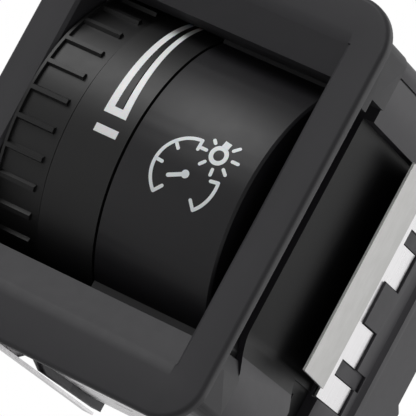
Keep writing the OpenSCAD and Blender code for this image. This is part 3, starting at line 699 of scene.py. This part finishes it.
def gauge_symbol(material):
    """A gauge with ticks and a pointer, and a lamp with rays at its upper right."""
    mesh = bmesh.new()
    centre = (0.08 * MM, 0.03 * MM)
    radius = 3.65 * MM
    top = SYMBOL_LIFT
    under = SYMBOL_LIFT - 0.006 * MM
    arc_pieces(mesh, centre, radius, STROKE, 92, 228, top)
    arc_pieces(mesh, centre, radius, STROKE, -51, 8, top, 20)
    for angle, length in ((92, 0.95), (135, 0.85), (176, 0.8), (228, 1.05), (-51, 1.0), (8, 0.85)):
        tick = bar_shape(polar(radius, angle, centre), polar(radius - length * MM, angle, centre), STROKE)
        outline_piece(mesh, tick, under)
    outline_piece(mesh, bar_shape(centre, (-1.55 * MM, -0.72 * MM), 0.42 * MM), under)
    outline_piece(mesh, [polar(0.43 * MM, a, centre) for a in range(0, 360, 15)], top)
    lamp = (2.28 * MM, 2.99 * MM)
    arc_pieces(mesh, lamp, 0.79 * MM, 0.46 * MM, 0, 360, top)
    for angle, start, end in ((135, 1.4, 1.75), (180, 1.45, 2.0), (228, 1.45, 2.0), (276, 1.5, 2.05),
                              (318, 1.6, 2.2), (0, 1.6, 2.25), (43, 1.5, 2.15)):
        ray = bar_shape(polar(start * MM, angle, lamp), polar(end * MM, angle, lamp), STROKE)
        outline_piece(mesh, ray, top)
    base = [polar(r * MM, 82 + half, lamp) for r, half in ((0.95, -25), (1.65, -14), (1.65, 14), (0.95, 25))]
    outline_piece(mesh, base, under)
    return finish_mesh("gauge_symbol", mesh, material, "module")


def add_camera():
    a = math.radians(CAMERA_AZIMUTH)
    e = math.radians(CAMERA_ELEVATION)
    back = Vector((math.sin(a) * math.cos(e), -math.cos(a) * math.cos(e), math.sin(e)))
    data = bpy.data.cameras.new("camera")
    data.sensor_width = SENSOR_MM
    data.lens = FOCAL_PX / PICTURE_PX * SENSOR_MM
    data.clip_start = 0.01
    data.clip_end = 20
    camera = bpy.data.objects.new("camera", data)
    camera.location = CAMERA_TARGET + back * CAMERA_DISTANCE
    camera.rotation_mode = "QUATERNION"
    roll = Quaternion((0, 0, 1), math.radians(CAMERA_ROLL))
    camera.rotation_quaternion = (-back).to_track_quat("-Z", "Y") @ roll
    bpy.context.scene.collection.objects.link(camera)
    bpy.context.scene.camera = camera


def softbox(name, direction, distance, size, watts):
    """An area lamp that faces the object from a direction."""
    data = bpy.data.lights.new(name, "AREA")
    data.shape = "RECTANGLE"
    data.size, data.size_y = size
    data.energy = watts
    lamp = bpy.data.objects.new(name, data)
    heading = Vector(direction).normalized()
    lamp.location = Vector((0, 0.015, 0)) + heading * distance
    lamp.rotation_mode = "QUATERNION"
    lamp.rotation_quaternion = heading.to_track_quat("Z", "Y")
    bpy.context.scene.collection.objects.link(lamp)


def add_world():
    """White where the camera, a reflection or glass sees it, and a plain level on matt surfaces."""
    world = bpy.data.worlds.new("studio")
    world.use_nodes = True
    bpy.context.scene.world = world
    nodes, links = world.node_tree.nodes, world.node_tree.links
    background = nodes["Background"]
    path = nodes.new("ShaderNodeLightPath")
    place = nodes.new("ShaderNodeTexCoord")
    axes = nodes.new("ShaderNodeSeparateXYZ")
    links.new(place.outputs["Generated"], axes.inputs["Vector"])
    depth = nodes.new("ShaderNodeMapRange")
    depth.inputs["From Min"].default_value = -0.4
    depth.inputs["From Max"].default_value = 0.5
    depth.inputs["To Min"].default_value = 0.3
    depth.inputs["To Max"].default_value = 1.0
    links.new(axes.outputs["Y"], depth.inputs["Value"])
    glossy = nodes.new("ShaderNodeMath")
    glossy.operation = "MULTIPLY"
    links.new(path.outputs["Is Glossy Ray"], glossy.inputs[0])
    links.new(depth.outputs["Result"], glossy.inputs[1])
    seen = nodes.new("ShaderNodeMath")
    seen.operation = "MAXIMUM"
    links.new(path.outputs["Is Camera Ray"], seen.inputs[0])
    links.new(path.outputs["Is Transmission Ray"], seen.inputs[1])
    most = nodes.new("ShaderNodeMath")
    most.operation = "MAXIMUM"
    links.new(seen.outputs[0], most.inputs[0])
    links.new(glossy.outputs[0], most.inputs[1])
    level = nodes.new("ShaderNodeMath")
    level.operation = "MAXIMUM"
    level.inputs[1].default_value = 0.34
    links.new(most.outputs[0], level.inputs[0])
    background.inputs["Color"].default_value = (1, 1, 1, 1)
    links.new(level.outputs[0], background.inputs["Strength"])


def add_floor():
    """A pale floor below the object, white where the camera sees it beside the shadow."""
    material, nodes, links = new_material("floor_paper")
    shader = nodes["Principled BSDF"]
    fibre = noise(nodes, links, 60, 3)
    paper = tone(nodes, links, fibre, (0.86, 0.86, 0.86), (0.9, 0.9, 0.9))
    path = nodes.new("ShaderNodeLightPath")
    bounce = nodes.new("ShaderNodeMix")
    bounce.data_type = "RGBA"
    bounce.inputs["B"].default_value = (0.2, 0.2, 0.2, 1)
    links.new(path.outputs["Is Diffuse Ray"], bounce.inputs["Factor"])
    links.new(paper, bounce.inputs["A"])
    links.new(bounce.outputs["Result"], shader.inputs["Base Color"])
    shader.inputs["Roughness"].default_value = 0.9
    mesh = bpy.data.meshes.new("floor")
    reach = 3.0
    level = -0.06
    mesh.from_pydata([(-reach, -reach, level), (reach, -reach, level), (reach, reach, level), (-reach, reach, level)],
                     [], [(0, 1, 2, 3)])
    floor = bpy.data.objects.new("floor", mesh)
    mesh.materials.append(material)
    bpy.context.scene.collection.objects.link(floor)


materials = paint_nodes()
for piece, width in (
    (dressed_bezel(materials), 0.12),
    (dressed_housing(materials), 0.1),
    (node("rear_cover"), 0.15),
    (node("symbol_panel"), 0.08),
    (dressed_side_clip("right_clip", 1, materials), 0.04),
    (dressed_side_clip("left_clip", -1, materials), 0.04),
    (node("bottom_clip"), 0.06),
):
    soften(piece, width * MM)
dressed_wheel(materials["wheel"])
gauge_symbol(materials["white"])

add_camera()
add_world()
softbox("key", (-0.45, -0.62, 0.58), 0.7, (0.35, 0.35), 3.0)
softbox("rear_right", (0.85, 0.45, 0.45), 0.7, (0.4, 0.4), 1.4)
add_floor()

view = bpy.context.scene.view_settings
view.view_transform = "Standard"
